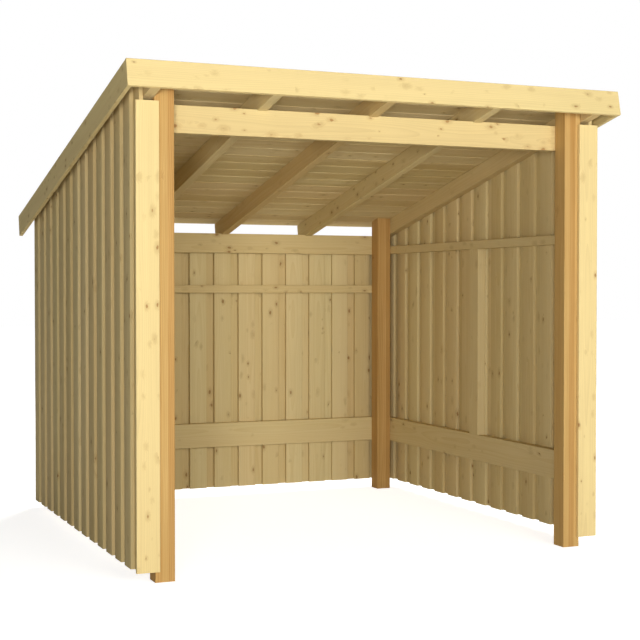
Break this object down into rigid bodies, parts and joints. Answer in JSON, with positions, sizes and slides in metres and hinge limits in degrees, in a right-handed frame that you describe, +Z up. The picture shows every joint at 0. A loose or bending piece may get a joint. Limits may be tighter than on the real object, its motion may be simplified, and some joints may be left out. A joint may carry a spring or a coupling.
{
  "type": "bike shelter",
  "caption": "Open-fronted wooden bike shelter: mono-pitch board roof on laminated posts, with side and back walls of board-on-board cladding and a ventilation slot under the eaves.",
  "frame": {"origin": "middle of the whole in plan, on the floor under the posts' feet", "axes": "+Z up, -Y towards the open front, +X to the right as seen from the front"},
  "size_m": [2.4798, 2.5022, 2.2536],
  "materials": {
    "laminated_post": "planed, untreated",
    "planed_spruce": "planed, untreated",
    "frame_spruce": "planed, untreated",
    "cladding_spruce": "planed, untreated",
    "roof_spruce": "planed, untreated"
  },
  "bodies": {
    "root": {"post_front_left": "laminated_post", "post_front_right": "laminated_post", "post_back_left": "laminated_post", "post_back_right": "laminated_post", "front_beam": "planed_spruce", "fascia_front": "planed_spruce", "fascia_left": "planed_spruce", "fascia_right": "planed_spruce", "corner_trim_left": "planed_spruce", "corner_trim_right": "planed_spruce", "back_beam": "frame_spruce", "rafter_left_side": "frame_spruce", "rafter_left": "frame_spruce", "rafter_middle": "frame_spruce", "rafter_right": "frame_spruce", "rafter_right_side": "frame_spruce", "left_upper_rail": "frame_spruce", "left_lower_rail": "frame_spruce", "left_stud": "frame_spruce", "right_upper_rail": "frame_spruce", "right_lower_rail": "frame_spruce", "right_stud": "frame_spruce", "back_upper_rail": "frame_spruce", "back_lower_rail": "frame_spruce", "left_inner_boards": "cladding_spruce", "left_outer_boards": "cladding_spruce", "right_inner_boards": "cladding_spruce", "right_outer_boards": "cladding_spruce", "back_inner_boards": "cladding_spruce", "back_outer_boards": "cladding_spruce", "roof_boards": "roof_spruce"}
  },
  "joints": []
}
